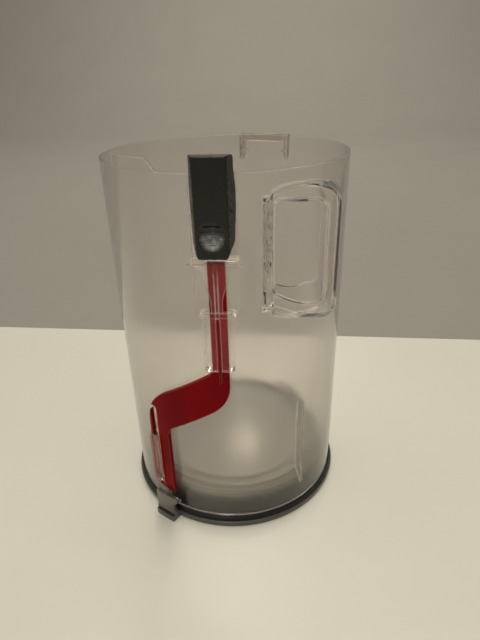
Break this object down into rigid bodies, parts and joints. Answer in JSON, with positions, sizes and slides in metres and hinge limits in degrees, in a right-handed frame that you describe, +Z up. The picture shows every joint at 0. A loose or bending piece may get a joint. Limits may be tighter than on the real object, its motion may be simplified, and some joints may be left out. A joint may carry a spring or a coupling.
{
  "type": "dust bin of a bagless canister vacuum cleaner",
  "caption": "Clear round dust bin with a side inlet, a thumb catch at the rim, and a red push rod that frees the hinged, sealed base flap.",
  "frame": {"origin": "on the bin's axis, in the plane that it stands on", "axes": "+Z up along the bin's axis, out of its mouth; -Y out of the front, where the thumb catch is"},
  "size_m": [0.1554, 0.1736, 0.25],
  "materials": {
    "clear_shell": "gloss",
    "rod_red": "gloss",
    "catch_grey": "satin",
    "smoked_base": "satin",
    "seal_rubber": "matte",
    "pin_steel": "satin",
    "spring_steel": "satin"
  },
  "bodies": {
    "bin": {"bin_tube": "clear_shell", "inlet_frame": "clear_shell", "rear_hook_bracket": "clear_shell", "catch_mount": "clear_shell", "upper_rod_guide": "clear_shell", "lower_rod_guide": "clear_shell", "catch_pivot_pin": "pin_steel", "catch_spring": "spring_steel", "hinge_bracket": "clear_shell", "hinge_pin": "pin_steel", "rod_return_spring": "spring_steel"},
    "rod": {"push_rod": "rod_red"},
    "catch": {"cyclone_catch": "catch_grey"},
    "flap": {"base_flap": "smoked_base", "base_seal": "seal_rubber"},
    "tongue": {"base_catch_tongue": "smoked_base"}
  },
  "joints": [
    {"name": "rod_press", "type": "slide", "parent": "bin", "child": "rod", "axis": [0, 0, -1], "range_m": [0, 0.009], "stiffness_N_per_m": 250, "springref_m": -0.012, "deforming": ["rod_return_spring"]},
    {"name": "catch_rock", "type": "hinge", "parent": "bin", "child": "catch", "pos_m": [0, -0.0836, 0.2236], "axis": [1, 0, 0], "range_deg": [0, 7], "stiffness_Nm_per_rad": 0.25, "springref_deg": -6.88},
    {"name": "base_hinge", "type": "hinge", "parent": "bin", "child": "flap", "pos_m": [0.0443, 0.069, 0.0125], "axis": [0.8415, -0.5402, 0], "range_deg": [0, 95]},
    {"name": "tongue_flex", "type": "hinge", "parent": "flap", "child": "tongue", "pos_m": [-0.04433, -0.06905, 0.0061], "axis": [0.8415, -0.5402, 0], "range_deg": [0, 11]}
  ],
  "couplings": [
    {"joint": "tongue_flex", "follows": "rod_press", "rad_per_m": 21.33}
  ]
}
